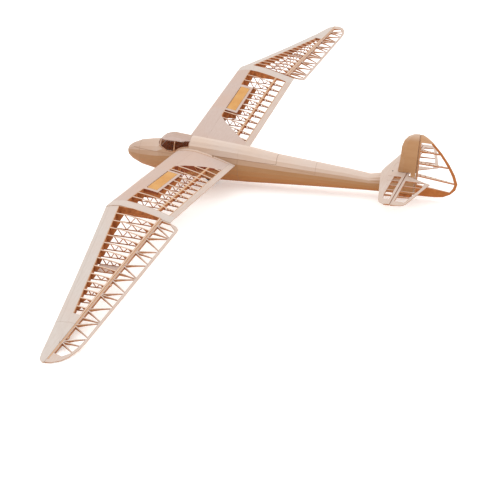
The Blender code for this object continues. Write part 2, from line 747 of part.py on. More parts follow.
def hull_rings(start, end, grow=0.0, floor=None):
    """Oval sections of the hull between two stations, grown or shrunk, and cut flat at a floor."""
    ys = [start] + [row.y for row in HULL if start + 0.002 < row.y < end - 0.002] + [end]
    rings = []
    for y in ys:
        row = row_at(HULL, y)
        ring = []
        for step in range(HULL_SIDES):
            angle = 2 * math.pi * (step + 0.5) / HULL_SIDES
            tall = (row.top - row.waist if math.cos(angle) > 0 else row.waist - row.keel) + grow
            z = row.waist + tall * math.cos(angle)
            x = (row.half_width + grow) * math.sin(angle)
            ring.append((x, y, z if floor is None else max(z, floor)))
        rings.append(ring)
    return rings


def side_region(outline):
    """Outline in side view closed far above the hull."""
    return outline + [(outline[-1][0], ABOVE), (outline[0][0], ABOVE)]


def lowered(outline, drop):
    return [(y, z - drop) for y, z in outline]


def hull_pieces():
    """Nose cap, front and rear hull, deck cover and the cockpit with its canopy."""
    as_part(loft("nose_cap", hull_rings(HULL[0].y, NOSE_SEAM_Y - GAP)), BALSA, smooth=40)

    front = loft("fuselage_front", hull_rings(NOSE_SEAM_Y, WING_SEAM_Y - GAP))
    rear = loft("fuselage_rear", hull_rings(WING_SEAM_Y, STERN_Y))
    sill = lowered(CANOPY_SILL, GAP)
    sill[0] = (sill[0][0] - GAP, sill[0][1])
    canopy_room = prisms("canopy_room", [side_region(sill)], "X", -0.1, 0.1)
    seam = lowered(DECK_SEAM, GAP)
    seam[0] = (CANOPY_REAR_Y - 0.002, seam[0][1])
    seam[-1] = (DECK_REAR_Y + GAP, seam[-1][1])
    deck_room = prisms("deck_room", [side_region(seam)], "X", -0.1, 0.1)
    combine(front, canopy_room)
    combine(front, as_cutter(loft("cockpit_room", hull_rings(*COCKPIT_Y, -SHELL_WALL, COCKPIT_FLOOR_Z))))
    combine(front, deck_room)
    wheel_low = (-WHEEL_BOX_HALF, WHEEL_Y - WHEEL_BOX_LONG, -0.15)
    wheel_high = (WHEEL_BOX_HALF, WHEEL_Y + WHEEL_BOX_LONG, WHEEL_BOX_TOP)
    combine(front, as_cutter(box("wheel_room", wheel_low, wheel_high)))
    combine(rear, deck_room)
    joiner_low = (-0.05, TAIL_HINGE_Y - 0.0045, -0.0115)
    combine(rear, as_cutter(box("joiner_room", joiner_low, (0.05, 0.83, 0.05))))
    stern = [(rudder_hinge_y(z) - STERN_GAP, z) for z in (-0.12, 0.02)] + [(0.85, 0.02), (0.85, -0.12)]
    combine(rear, prisms("stern_room", [stern], "X", -0.1, 0.1))
    as_part(front, BALSA, smooth=40)
    as_part(rear, BALSA, smooth=40)

    deck = loft("deck_cover", hull_rings(CANOPY_REAR_Y + GAP, DECK_REAR_Y))
    combine(deck, prisms("deck_region", [side_region(DECK_SEAM)], "X", -0.1, 0.1), "INTERSECT")
    as_part(deck, BALSA, smooth=40)

    tray_low = (-0.040, COCKPIT_Y[0] + 0.006, COCKPIT_FLOOR_Z + GAP)
    tray_high = (0.040, COCKPIT_Y[1] - 0.004, COCKPIT_FLOOR_Z + 0.0033)
    as_part(box("cockpit_tray", tray_low, tray_high), PLY)
    canopy()


def canopy():
    """Clear canopy and the thin frame inside it, hinged at the front tongue."""
    span = (CANOPY_SILL[0][0] + 0.0004, CANOPY_REAR_Y - GAP)
    region = prisms("canopy_region", [side_region(CANOPY_SILL)], "X", -0.1, 0.1)
    glass = loft("canopy_glass", hull_rings(*span))
    combine(glass, region, "INTERSECT")
    combine(glass, as_cutter(loft("glass_inside", hull_rings(GLASS_INSIDE_Y, -0.13, -GLASS_WALL))))
    frame = loft("canopy_frame", hull_rings(FRAME_FRONT_Y, span[1], -GLASS_WALL - GAP))
    combine(frame, region, "INTERSECT")
    combine(frame, as_cutter(loft("frame_inside", hull_rings(FRAME_INSIDE_Y, -0.13, -GLASS_WALL - GAP - FRAME_WALL))))
    ys = (-0.2620, CANOPY_SILL[2].y, ARCH_Y[0])
    front = [(y, row_at(CANOPY_SILL, y).z + SILL_STRIP) for y in ys]
    ys = (ARCH_Y[1], CANOPY_SILL[4].y, CANOPY_SILL[5].y, CANOPY_SILL[6].y, -0.1410)
    rear = [(y, row_at(CANOPY_SILL, y).z + SILL_STRIP) for y in ys]
    combine(frame, prisms("frame_windows", [side_region(front), side_region(rear)], "X", -0.1, 0.1))
    hinge = Vector((0, *CANOPY_HINGE))
    for piece, color, alpha in ((glass, CLEAR, 0.35), (frame, BALSA, 1.0)):
        pivot_on(piece, hinge)
        as_part(piece, color, 0.1 if alpha < 1 else 0.6, alpha=alpha, smooth=40)


def root_fairing(side):
    """Short stub of wing section between the hull's side and the wing's root rib."""
    rings = []
    for x in (0.030, ROOT_X - GAP):
        lead = nose_ring(INNER_WING, x, inner_box_y(x))
        half = len(lead) // 2
        mids = [between(inner_box_y(x), row_at(INNER_WING, x).trail_y, part) for part in (0.33, 0.67, 1.0)]
        upper = [(x, y, skin(INNER_WING, x, y, 1)) for y in reversed(mids)]
        lower = [(x, y, skin(INNER_WING, x, y, -1)) for y in mids]
        rings.append(upper + lead[:half + 1] + lead[half + 1:] + lower)
    end = side_name(side)
    piece = loft(f"root_fairing_{end}", rings, side)
    combine(piece, as_cutter(loft(f"hull_room_{end}", hull_rings(-0.30, 0.20, GAP))))
    as_part(piece, BALSA, smooth=40)


def wheel_set():
    """Tyre with a rounded crown, hub, axle in the wheel box and the tail skid."""
    crown = []
    for step in range(TYRE_STEPS + 1):
        angle = math.pi * step / TYRE_STEPS
        radius = WHEEL_RADIUS - TYRE_HALF + TYRE_HALF * math.sin(angle)
        crown.append((TYRE_HALF * math.cos(angle), radius))
    seat = HUB_RADIUS + GAP
    profile = [(HUB_HALF, seat)] + crown + [(-HUB_HALF, seat)]
    tyre = turned("wheel_tyre", profile, 40)
    bore = AXLE_RADIUS + GAP
    hub_profile = [(HUB_HALF, bore), (HUB_HALF, HUB_RADIUS), (-HUB_HALF, HUB_RADIUS), (-HUB_HALF, bore)]
    hub = turned("wheel_hub", hub_profile, 24)
    for piece, color in ((tyre, RUBBER), (hub, METAL)):
        pivot_on(piece, Vector((0, WHEEL_Y, WHEEL_Z)))
        as_part(piece, color, smooth=40)
    bm = bmesh.new()
    turn = Matrix.Translation((0, WHEEL_Y, WHEEL_Z)) @ Matrix.Rotation(math.radians(90), 4, "Y")
    bmesh.ops.create_cone(bm, cap_ends=True, segments=16, radius1=AXLE_RADIUS, radius2=AXLE_RADIUS,
                          depth=2 * (WHEEL_BOX_HALF - GAP), matrix=turn)
    as_part(finish_mesh("wheel_axle", bm), METAL, 0.35, 1.0, smooth=40)

    shoe = []
    for y, top, foot in ((SKID_Y[0], -0.0880, -0.0905), (0.725, -0.0885, -0.0985), (SKID_FOOT[0], -0.0890, SKID_FOOT[1]),
                         (0.768, -0.0893, -0.1025), (SKID_Y[1], -0.0895, -0.0950)):
        shoe.append([(-0.003, y, top), (-0.003, y, foot), (0.003, y, foot), (0.003, y, top)])
    as_part(loft("tail_skid", shoe), PLY)


def tail_windows():
    """Openings of one tailplane half, between the leading sheet and the hinge spar."""
    pitch = (TAIL_WINDOW_X[1] - TAIL_WINDOW_X[0]) / TAIL_WINDOW_COUNT
    windows = []
    for index in range(TAIL_WINDOW_COUNT):
        near = TAIL_WINDOW_X[0] + pitch * index + TAIL_RIB_HALF
        far = near + pitch - 2 * TAIL_RIB_HALF
        front = [row_at(TAILPLANE, x).lead_y + 0.034 - 0.06 * x for x in (near, far)]
        rear = TAIL_HINGE_Y - 0.0105
        windows.append([(near, front[0]), (far, front[1]), (far, rear), (near, rear)])
    return windows


def elevator_windows():
    """Openings of one elevator half."""
    pitch = (TAIL_WINDOW_X[1] + 0.012 - 0.078) / 4
    windows = []
    for index in range(4):
        near = 0.078 + pitch * index + TAIL_RIB_HALF
        far = near + pitch - 2 * TAIL_RIB_HALF
        rear = [min(row_at(ELEVATOR, x).trail_y - 0.0125, 0.8535) for x in (near, far)]
        front = TAIL_HINGE_Y + 0.0125
        windows.append([(near, front), (far, front), (far, rear[1]), (near, rear[0])])
    return windows


def mirrored(outlines):
    return outlines + [[(-x, y) for x, y in outline] for outline in outlines]


def tailplane():
    """Tailplane in one piece and the elevator, its halves joined under the fin."""
    rows = [row._replace(x=-row.x) for row in reversed(TAILPLANE[1:])] + TAILPLANE
    rings = []
    for row in rows:
        rear = TAIL_HINGE_Y - GAP
        nose = row.lead_y + 2.2 * row.half
        rings.append([(row.x, row.lead_y, 0), (row.x, nose, row.half), (row.x, rear, row.half),
                      (row.x, rear, -row.half), (row.x, nose, -row.half)])
    piece = loft("tailplane", rings)
    combine(piece, prisms("tailplane_windows", mirrored(tail_windows()), "Z", -0.1, 0.1))
    as_part(piece, BALSA)

    rows = [row._replace(x=-row.x) for row in reversed(ELEVATOR[1:])] + ELEVATOR
    rings = []
    for row in rows:
        front = TAIL_HINGE_Y + GAP
        rings.append([(row.x, front, 0), (row.x, front + 0.0045, row.half), (row.x, row.trail_y, 0.0010),
                      (row.x, row.trail_y, -0.0010), (row.x, front + 0.0045, -row.half)])
    piece = loft("elevator", rings)
    combine(piece, prisms("elevator_windows", mirrored(elevator_windows()), "Z", -0.1, 0.1))
    pivot_on(piece, Vector((0, TAIL_HINGE_Y, 0)))
    as_part(piece, BALSA)
    bm = bmesh.new()
    turn = Matrix.Translation((0, 0.700, 0.0045 + GAP + 0.0008))
    bmesh.ops.create_cone(bm, cap_ends=True, segments=12, radius1=0.0028, radius2=0.0022, depth=0.0016, matrix=turn)
    as_part(finish_mesh("tail_screw", bm), METAL, 0.35, 1.0)


def rudder_hinge_y(z):
    low, high = RUDDER_HINGE_LOW, RUDDER_HINGE_HIGH
    return between(low[0], high[0], (z - low[1]) / (high[1] - low[1]))


def fin_and_rudder():
    """Sheeted fin on the tailplane and stern, and the framed rudder behind it."""
    rings = []
    for row in FIN:
        rear = rudder_hinge_y(row.z) - GAP
        nose = between(row.lead_y, rear, 0.28)
        rings.append([(0, row.lead_y, row.z), (row.half * 0.85, nose, row.z), (row.half, rear, row.z),
                      (-row.half, rear, row.z), (-row.half * 0.85, nose, row.z)])
    fin = loft("fin", rings)
    foot = as_cutter(box("fin_foot", (-0.004, FIN_FOOT_Y[0], 0.0045 + GAP), (0.004, FIN_FOOT_Y[1], FIN_FOOT_Z + 0.004)))
    post = as_cutter(box("fin_post", (-0.005, FIN_POST_Y[0], -0.0115 + GAP), (0.005, FIN_POST_Y[1], FIN_FOOT_Z + 0.004)))
    combine(fin, foot, "UNION")
    combine(fin, post, "UNION")
    as_part(fin, BALSA, smooth=40)

    rings = []
    for row in RUDDER:
        front = rudder_hinge_y(row.z) + GAP
        rings.append([(0, front, row.z), (row.half, front + 0.006, row.z), (0.0016, row.trail_y, row.z),
                      (-0.0016, row.trail_y, row.z), (-row.half, front + 0.006, row.z)])
    rudder = loft("rudder", rings)
    combine(rudder, prisms("rudder_windows", rudder_windows(), "X", -0.1, 0.1))
    combine(rudder, as_cutter(lofts("rudder_holes", rudder_holes())))
    low, direction = rudder_hinge()
    pivot_on(rudder, low)
    as_part(rudder, PLY)


def rudder_hinge():
    low = Vector((0, *RUDDER_HINGE_LOW))
    high = Vector((0, *RUDDER_HINGE_HIGH))
    return low, (high - low).normalized()


def rudder_windows():
    """Openings of the rudder between its ribs."""
    windows = []
    for (low_front, low_rear), (high_front, high_rear) in zip(RUDDER_RIBS, RUDDER_RIBS[1:]):
        low_front, low_rear = low_front + 0.0014, low_rear + 0.0014
        high_front, high_rear = high_front - 0.0014, high_rear - 0.0014
        outline = [(rudder_hinge_y(low_front) + RUDDER_POST, low_front)]
        for step in range(3):
            z = between(low_rear, high_rear, step / 2)
            outline.append((row_at(RUDDER, z).trail_y - RUDDER_STRIP, z))
        outline.append((rudder_hinge_y(high_front) + RUDDER_POST, high_front))
        windows.append(outline)
    return windows


def rudder_holes():
    """Round holes down through the three free ribs of the rudder, smaller towards the rear."""
    solids = []
    for front_z, rear_z in RUDDER_RIBS[1:-1]:
        front = rudder_hinge_y(front_z) + RUDDER_POST
        rear = row_at(RUDDER, rear_z).trail_y - RUDDER_STRIP
        for index in range(RUDDER_HOLES):
            part = (index + 0.5) / RUDDER_HOLES
            y, z = between(front, rear, part), between(front_z, rear_z, part)
            radius = between(RUDDER_HOLE_RADII[0], RUDDER_HOLE_RADII[1], part)
            rings = []
            for level in (z - 0.0045, z + 0.0045):
                ring = []
                for step in range(8):
                    angle = math.pi * (step + 0.5) / 4
                    ring.append((radius * math.cos(angle), y + radius * math.sin(angle), level))
                rings.append(ring)
            solids.append(rings)
    return solids


def tyre_contact(normal):
    """Point of the tyre's crown that meets a floor with this normal."""
    wheel = Vector((0, WHEEL_Y, WHEEL_Z))
    around = Vector((0, normal.y, normal.z)).normalized()
    return wheel - around * (WHEEL_RADIUS - TYRE_HALF) - normal * TYRE_HALF


def park():
    """Attitude in which the tyre, the tail skid and the left wingtip meet the floor."""
    skid = Vector((0, *SKID_FOOT))
    tip_piece = bpy.data.objects["outer_leading_box_left"]
    normal = Vector((0.07, 0, 1)).normalized()
    for step in range(8):
        wheel = tyre_contact(normal)
        tip = min((vert.co for vert in tip_piece.data.vertices), key=normal.dot)
        normal = (skid - wheel).cross(tip - wheel).normalized()
        normal = normal if normal.z > 0 else -normal
    ahead = Vector((1, 0, 0))
    left = (ahead - normal * ahead.dot(normal)).normalized()
    back = normal.cross(left)
    turn = Matrix((left, back, normal)).to_4x4()
    return turn, normal.dot(tyre_contact(normal))


def place(turn, floor):
    """Sets the airframe down with its origin under the middle of its box."""
    bpy.context.view_layer.update()
    graph = bpy.context.evaluated_depsgraph_get()
    corners = []
    for piece in model.objects:
        shape = piece.evaluated_get(graph)
        for vert in shape.data.vertices:
            corners.append(turn @ (piece.matrix_local @ vert.co))
    middle = [(min(c[i] for c in corners) + max(c[i] for c in corners)) / 2 for i in range(2)]
    lowest = min(c[2] for c in corners)
    airframe.matrix_world = Matrix.Translation((-middle[0], -middle[1], -lowest)) @ turn
    bpy.context.view_layer.update()


clear_scene()
model = new_collection("sailplane_framework")
cutters = new_collection("cutters")
airframe = bpy.data.objects.new("airframe", None)
bpy.context.scene.collection.objects.link(airframe)
for hand in (1, -1):
    inner_panel(hand)
    spoiler(hand)
    joint_block(hand)
    outer_panel(hand)
    servo_plate(hand)
    aileron(hand)
    root_fairing(hand)
hull_pieces()
wheel_set()
tailplane()
fin_and_rudder()
place(*park())
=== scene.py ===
import json
import math
import bpy
from mathutils import Color, Matrix, Vector


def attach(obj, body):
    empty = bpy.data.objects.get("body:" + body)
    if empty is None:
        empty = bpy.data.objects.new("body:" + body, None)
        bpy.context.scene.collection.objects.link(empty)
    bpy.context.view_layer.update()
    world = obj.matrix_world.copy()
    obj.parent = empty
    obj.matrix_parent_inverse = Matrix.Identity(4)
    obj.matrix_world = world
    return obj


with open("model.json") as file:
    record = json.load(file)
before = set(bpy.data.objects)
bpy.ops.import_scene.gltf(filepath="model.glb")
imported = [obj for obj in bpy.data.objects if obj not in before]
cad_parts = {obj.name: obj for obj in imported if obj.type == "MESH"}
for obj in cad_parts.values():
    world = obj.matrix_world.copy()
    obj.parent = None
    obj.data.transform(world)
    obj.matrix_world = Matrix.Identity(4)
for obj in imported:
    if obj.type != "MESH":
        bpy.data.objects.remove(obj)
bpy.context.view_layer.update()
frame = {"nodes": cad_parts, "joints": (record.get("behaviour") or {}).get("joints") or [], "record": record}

# Dresses the uncovered sailplane framework. Pieces are laid out on the level airframe (left wing +X, nose -Y)
# and then carried into the parked attitude with the solids.
nodes = frame["nodes"]
bpy.ops.object.select_all(action="DESELECT")
print("frame loaded:", len(nodes), "solids")

levelPlaces = {"wheel": (0.0, -0.060, -0.0985), "tailHinge": (0.0, 0.757, 0.0)}


def findParked():
    # matrix from the level airframe to the parked one, from the places of the wheel and the tail hinge
    joints = {joint["name"]: joint for joint in frame["joints"]}
    left = Vector(joints["wheel_spin"]["axis"]).normalized()
    hinge = Vector(joints["elevator_hinge"]["pos_m"])
    reach = hinge - Vector(joints["wheel_spin"]["pos_m"])
    run = Vector(levelPlaces["tailHinge"]) - Vector(levelPlaces["wheel"])
    back = (run.y * reach - run.z * left.cross(reach)).normalized()
    up = left.cross(back)
    start = hinge - back * levelPlaces["tailHinge"][1]
    return Matrix([[left[i], back[i], up[i], start[i]] for i in range(3)] + [[0, 0, 0, 1]])


parked = findParked()
level = parked.inverted()

# Ways on the level airframe
spanWay = (1, 0, 0)
lengthWay = (0, 1, 0)
heightWay = (0, 0, 1)

# Camera, floor and light
cameraLook = {
    "place": (5.3147, 1.893, 2.3670),
    "right": (-0.3101, 0.9506, -0.0202),
    "up": (-0.4293, -0.1210, 0.8952),
    "lens": 108,
    "sensor": 36,
    "clipEnd": 200,
}
floorLook = {
    "size": 60,
    "colour": (0.96, 0.96, 0.96),
    "rough": 0.9,
    "shine": 0.1,
    "glow": 0.30,
    "drop": 0.0004,
}
lightLook = {
    "sky": 1.02,
    "skyTone": (1.0, 0.99, 0.98),
    "sun": 0.55,
    "sunTone": (1.0, 0.985, 0.96),
    "sunFrom": (-0.55, -0.10, 1.0),
    "softness": 70,
}


def setCamera(look):
    # its place and axes are those of the level airframe, and are carried into the parked attitude with it
    right = Vector(look["right"]).normalized()
    back = right.cross(Vector(look["up"])).normalized()
    up = back.cross(right)
    place = Vector(look["place"])
    bpy.ops.object.camera_add()
    camera = bpy.context.object
    axes = Matrix([[right[i], up[i], back[i], place[i]] for i in range(3)] + [[0, 0, 0, 1]])
    camera.matrix_world = parked @ axes
    camera.data.sensor_width = look["sensor"]
    camera.data.lens = look["lens"]
    camera.data.clip_end = look["clipEnd"]
    bpy.context.scene.camera = camera


def setFloor(look):
    bpy.ops.mesh.primitive_plane_add(size=look["size"], location=(0, 0, -look["drop"]))
    floor = bpy.context.object
    floor.name = "studio_floor"
    material = bpy.data.materials.new("studio_floor")
    material.use_nodes = True
    shader = material.node_tree.nodes["Principled BSDF"]
    shader.inputs["Base Color"].default_value = (*look["colour"], 1)
    shader.inputs["Roughness"].default_value = look["rough"]
    shader.inputs["Specular IOR Level"].default_value = look["shine"]
    shader.inputs["Emission Color"].default_value = (1, 1, 1, 1)
    shader.inputs["Emission Strength"].default_value = look["glow"]
    floor.data.materials.append(material)


def setLight(look):
    world = bpy.data.worlds.new("studio")
    world.use_nodes = True
    sky = world.node_tree.nodes["Background"]
    sky.inputs["Color"].default_value = (*look["skyTone"], 1)
    sky.inputs["Strength"].default_value = look["sky"]
    bpy.context.scene.world = world
    bpy.ops.object.light_add(type="SUN")
    sun = bpy.context.object
    sun.data.energy = look["sun"]
    sun.data.color = look["sunTone"]
    sun.data.angle = math.radians(look["softness"])
    sun.rotation_mode = "QUATERNION"
    sun.rotation_quaternion = Vector(look["sunFrom"]).to_track_quat("Z", "Y")
    bpy.context.scene.view_settings.view_transform = "Standard"


setCamera(cameraLook)
setFloor(floorLook)
setLight(lightLook)
print("studio set")


# Materials
def tone(paint):
    # colour as a paint chart gives it, 0 to 255, made linear for the shader
    chart = Color([level / 255 for level in paint])
    return (*chart.from_srgb_to_scene_linear(), 1)


def newMaterial(name):
    material = bpy.data.materials.new(name)
    material.use_nodes = True
    return material, material.node_tree, material.node_tree.nodes["Principled BSDF"]


def setSocket(tree, socket, value):
    if isinstance(value, bpy.types.NodeSocket):
        tree.links.new(value, socket)
    else:
        socket.default_value = value


def addNode(tree, kind, inputs=None, **settings):
    node = tree.nodes.new(kind)
    for key, value in settings.items():
        setattr(node, key, value)
    for key, value in (inputs or {}).items():
        setSocket(tree, node.inputs[key], value)
    return node


def airframeCoords(tree):
    # place of a point on the level airframe, whatever the parked attitude
    coords = addNode(tree, "ShaderNodeTexCoord")
    turned = addNode(tree, "ShaderNodeMapping", {
        "Vector": coords.outputs["Object"],
        "Location": level.to_translation(),
        "Rotation": level.to_euler("XYZ"),
    })
    return coords, turned.outputs["Vector"]


def mixTones(tree, part, first, second):
    mix = addNode(tree, "ShaderNodeMix", {0: part, 6: first, 7: second}, data_type="RGBA")
    return mix.outputs[2]


def numbers(tree, operation, *values):
    return addNode(tree, "ShaderNodeMath", dict(enumerate(values)), operation=operation).outputs[0]


def vectors(tree, operation, first, second):
    return addNode(tree, "ShaderNodeVectorMath", {0: first, 1: second}, operation=operation).outputs["Vector"]


def along(tree, place, way):
    # how far a point lies along one way
    return addNode(tree, "ShaderNodeVectorMath", {0: place, 1: way}, operation="DOT_PRODUCT").outputs["Value"]


def fade(tree, value, low, high, start=0.0, stop=1.0):
    # from start to stop as the value goes from low to high
    limits = {"From Min": low, "From Max": high, "To Min": start, "To Max": stop}
    return addNode(tree, "ShaderNodeMapRange", {"Value": value, **limits}).outputs["Result"]


def noise(tree, place, scale, detail, rough=0.5):
    look = {"Vector": place, "Scale": scale, "Detail": detail, "Roughness": rough}
    return addNode(tree, "ShaderNodeTexNoise", look).outputs["Fac"]


def addBump(tree, shader, height, strength, deep):
    bump = addNode(tree, "ShaderNodeBump", {"Height": height, "Strength": strength, "Distance": deep})
    tree.links.new(bump.outputs["Normal"], shader.inputs["Normal"])


def rise(tree, coords):
    # 1 on a face that looks straight up from the level airframe, -1 on one that looks down
    return along(tree, coords.outputs["Normal"], parked.to_3x3() @ Vector(heightWay))


# Cockpit: painted shade makes its walls browner than the hull outside. "lean" is the most that such a wall
# may face outwards
cockpitShadeLook = {"tone": (150, 64, 28), "from": -0.2635, "to": -0.1395, "middle": -0.028, "lean": 0.012}


def cockpitShadeMask(tree, coords, place):
    # 1 on the walls that face the middle line of the hull between the cockpit's ends, which take the painted
    # shade
    turn = {"Vector": coords.outputs["Normal"], "Rotation": level.to_euler("XYZ")}
    normal = addNode(tree, "ShaderNodeMapping", turn, vector_type="NORMAL").outputs["Vector"]
    offset = vectors(tree, "ADD", place, (0, 0, -cockpitShadeLook["middle"]))
    outward = vectors(tree, "MULTIPLY", offset, (1, 0, 1))
    inward = numbers(tree, "LESS_THAN", along(tree, normal, outward), cockpitShadeLook["lean"])
    hullPlace = along(tree, place, lengthWay)
    behind = numbers(tree, "GREATER_THAN", hullPlace, cockpitShadeLook["from"])
    ahead = numbers(tree, "LESS_THAN", hullPlace, cockpitShadeLook["to"])
    return numbers(tree, "MULTIPLY", numbers(tree, "MULTIPLY", behind, ahead), inward)


# Rudder: its head and its post are sheeted like the fin
rudderLook = {"tone": (190, 146, 108), "way": (0, 1, -0.0826), "behind": 0.7990, "head": 0.1365}


def sheetedRudder(tree, place):
    post = numbers(tree, "LESS_THAN", along(tree, place, rudderLook["way"]), rudderLook["behind"])
    head = numbers(tree, "GREATER_THAN", along(tree, place, heightWay), rudderLook["head"])
    return numbers(tree, "MAXIMUM", post, head)


# Plank seams: a thin line at one place across, between two limits along, and the same on the right half
seamLook = {"tone": (140, 104, 78), "half": 0.0008}
deckWay = (0, 0.058, 1)
tailWay = (0, 0.13, 1)
seams = {
    "hullBalsa": [
        {"across": lengthWay, "at": 0.0700, "along": deckWay, "from": -0.200, "to": 0.0059, "part": 0.8},
        {"across": deckWay, "at": 0.0059, "along": lengthWay, "from": -0.137, "to": 0.2303, "part": 0.9},
        {"across": lengthWay, "at": 0.2303, "along": deckWay, "from": 0.0059, "to": 0.200, "part": 0.9},
        {"across": lengthWay, "at": -0.3580, "along": heightWay, "from": -0.200, "to": 0.200, "part": 0.25},
        {"across": heightWay, "at": 0.0000, "along": lengthWay, "from": -0.388, "to": -0.205, "part": 0.8},
        {"across": lengthWay, "at": 0.3920, "along": heightWay, "from": -0.034, "to": 0.200, "part": 0.45},
        {"across": tailWay, "at": 0.0200, "along": lengthWay, "from": 0.2303, "to": 0.392, "part": 0.4},
    ],
    "outerSheet": [
        {"across": spanWay, "at": 1.4970, "along": lengthWay, "from": -0.300, "to": 0.100, "part": 0.5},
        {"across": (-0.1713, 1, 0), "at": -0.3040, "along": spanWay, "from": 0.782, "to": 1.497, "part": 0.2},
    ],
}


def leftHalf(tree, place):
    # the same place on the left half of the airframe
    parts = addNode(tree, "ShaderNodeSeparateXYZ", {"Vector": place}).outputs
    folded = {"X": numbers(tree, "ABSOLUTE", parts["X"]), "Y": parts["Y"], "Z": parts["Z"]}
    return addNode(tree, "ShaderNodeCombineXYZ", folded).outputs["Vector"]


def seamMask(tree, place, seam):
    middle = (seam["from"] + seam["to"]) / 2
    reach = (seam["to"] - seam["from"]) / 2
    line = numbers(tree, "COMPARE", along(tree, place, seam["across"]), seam["at"], seamLook["half"])
    span = numbers(tree, "COMPARE", along(tree, place, seam["along"]), middle, reach)
    return numbers(tree, "MULTIPLY", numbers(tree, "MULTIPLY", line, span), seam["part"])


# Slow changes of tone along one way: the hull darker towards the nose, and a painted highlight on the crest
# of fin and rudder, where their rounded tops face the light
shades = {
    "hullBalsa": {"way": (0, -1, 0), "from": 0.150, "to": 0.400, "part": 0.48, "tone": (162, 122, 92)},
    # painted highlight on the fin's crest
    "finBalsa": {"way": heightWay, "from": 0.140, "to": 0.172, "part": 0.60, "tone": (218, 198, 182)},
    # painted highlight on the rudder's crest
    "rudderBalsa": {"way": (0, 0.45, 1), "from": 0.522, "to": 0.548, "part": 0.55, "tone": (214, 190, 170)},
}
grainLook = {
    "detail": 5.0, "fineness": 0.62, "contrast": (0.32, 0.68), "patchDetail": 1.5, "patchRange": (0.42, 0.66),
    "shine": 0.25, "bump": 0.25, "bumpDeep": 0.0003,
}


def woodMaterial(name, look):
    # grain along one way of the airframe, patches of another tone, and painted shade: browner sides and
    # underside, by how far each face turns from looking up
    material, tree, shader = newMaterial(name)
    coords, place = airframeCoords(tree)
    stretched = vectors(tree, "MULTIPLY", place, look["grain"])
    fibres = noise(tree, stretched, 1.0, grainLook["detail"], grainLook["fineness"])
    contrast = fade(tree, fibres, *grainLook["contrast"])
    colour = mixTones(tree, contrast, tone(look["pale"]), tone(look["streak"]))
    patches = noise(tree, place, look["patchScale"], grainLook["patchDetail"])
    patchPart = fade(tree, patches, *grainLook["patchRange"], stop=look["patchPart"])
    colour = mixTones(tree, patchPart, colour, tone(look["patch"]))
    sideShade = mixTones(tree, contrast, tone(look["edge"]), tone(look["edgeDeep"]))
    turned = rise(tree, coords)
    # painted shade: faces turned from looking up take the browner side tones
    colour = mixTones(tree, fade(tree, turned, *look["turn"], 1.0, 0.0), colour, sideShade)
    # painted shade: faces looking down take the browner underside tone
    colour = mixTones(tree, fade(tree, turned, *look["under"], 1.0, 0.0), colour, tone(look["belly"]))
    if name == "hullBalsa":
        # painted shade on the cockpit's inner walls
        colour = mixTones(tree, cockpitShadeMask(tree, coords, place), colour, tone(cockpitShadeLook["tone"]))
    if name == "rudderBalsa":
        colour = mixTones(tree, sheetedRudder(tree, place), colour, tone(rudderLook["tone"]))
    if name in shades:
        shade = shades[name]
        part = fade(tree, along(tree, place, shade["way"]), shade["from"], shade["to"], stop=shade["part"])
        colour = mixTones(tree, part, colour, tone(shade["tone"]))
    folded = leftHalf(tree, place)
    for seam in seams.get(name, []):
        colour = mixTones(tree, seamMask(tree, folded, seam), colour, tone(seamLook["tone"]))
    tree.links.new(colour, shader.inputs["Base Color"])
    shader.inputs["Roughness"].default_value = look["rough"]
    shader.inputs["Specular IOR Level"].default_value = grainLook["shine"]
    addBump(tree, shader, fibres, grainLook["bump"], grainLook["bumpDeep"])
    return material
